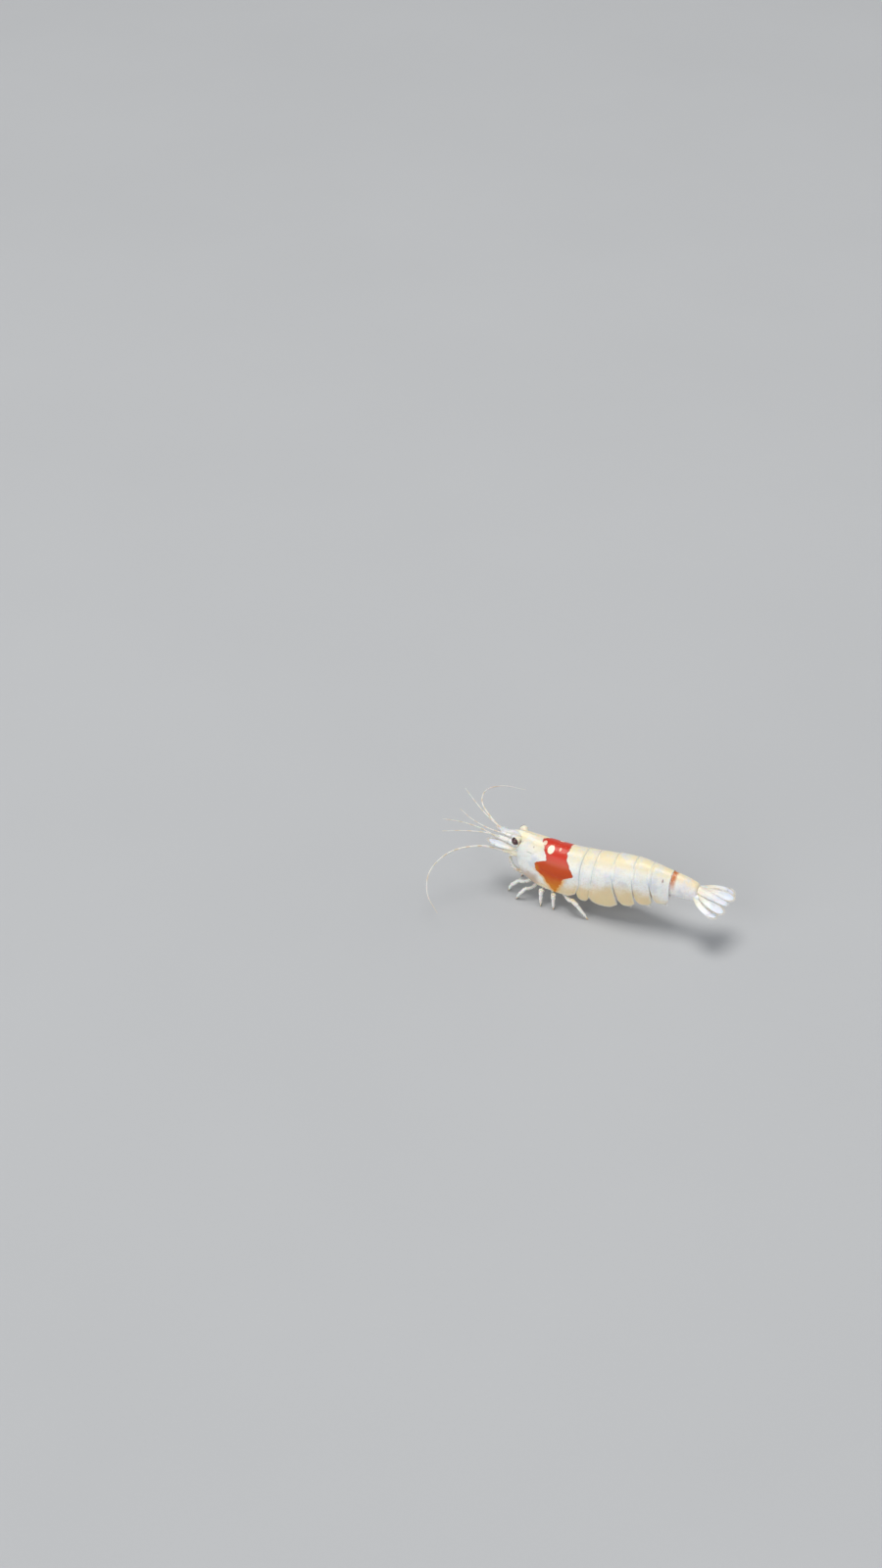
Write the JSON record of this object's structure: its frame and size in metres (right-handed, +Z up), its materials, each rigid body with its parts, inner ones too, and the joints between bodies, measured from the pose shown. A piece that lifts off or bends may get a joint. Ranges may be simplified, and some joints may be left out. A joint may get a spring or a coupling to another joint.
{
  "type": "crystal red bee shrimp",
  "caption": "Life-size still model of a red and white freshwater bee shrimp standing on the floor, with whip feelers, stalked eyes, jointed legs, swimmerets and a spread tail fan.",
  "frame": {"origin": "middle of the base of the whole box, on the floor the feet stand on", "axes": "+Z up, the head points along -Y and the tail fan along +Y, the animal's left side is +X"},
  "size_m": [0.0198, 0.0287, 0.0081],
  "materials": {
    "shell": "porcelain-white shell, smooth and moist, warming to cream low on the side plates, with thin grey joint lines",
    "banded_shell": "porcelain-white shell with an orange-red saddle over its rear half, and one large and a few small white spots near the ridge",
    "limb": "white to cream thin shell, slightly see-through at the joints, with fine hairs",
    "feeler": "fine ringed feeler, pale cream with faint darker bands",
    "eye": "deep purple-brown, wet gloss",
    "flesh": "soft cream underside and mouthparts"
  },
  "bodies": {
    "root": {"carapace": "banded_shell", "pleonite_1": "shell", "pleonite_2": "shell", "pleonite_3": "shell", "pleonite_4": "shell", "pleonite_5": "shell", "pleonite_6": "shell", "rostrum": "shell", "sternum": "flesh", "mouthparts": "flesh", "eye_left": "eye", "eye_right": "eye", "eyestalk_left": "shell", "eyestalk_right": "shell", "antennule_left": "shell", "antennule_right": "shell", "antennule_outer_left": "feeler", "antennule_outer_right": "feeler", "antennule_inner_left": "feeler", "antennule_inner_right": "feeler", "antenna_base_left": "shell", "antenna_base_right": "shell", "antenna_scale_left": "shell", "antenna_scale_right": "shell", "antenna_left": "feeler", "antenna_right": "feeler", "maxilliped_left": "limb", "maxilliped_right": "limb", "cheliped_1_left": "limb", "cheliped_1_right": "limb", "cheliped_2_left": "limb", "cheliped_2_right": "limb", "walking_leg_3_left": "limb", "walking_leg_3_right": "limb", "walking_leg_4_left": "limb", "walking_leg_4_right": "limb", "walking_leg_5_left": "limb", "walking_leg_5_right": "limb", "pleopod_1_left": "limb", "pleopod_1_right": "limb", "pleopod_2_left": "limb", "pleopod_2_right": "limb", "pleopod_3_left": "limb", "pleopod_3_right": "limb", "pleopod_4_left": "limb", "pleopod_4_right": "limb", "pleopod_5_left": "limb", "pleopod_5_right": "limb", "telson": "shell", "uropod_endopod_left": "shell", "uropod_endopod_right": "shell", "uropod_exopod_left": "shell", "uropod_exopod_right": "shell"}
  },
  "joints": []
}
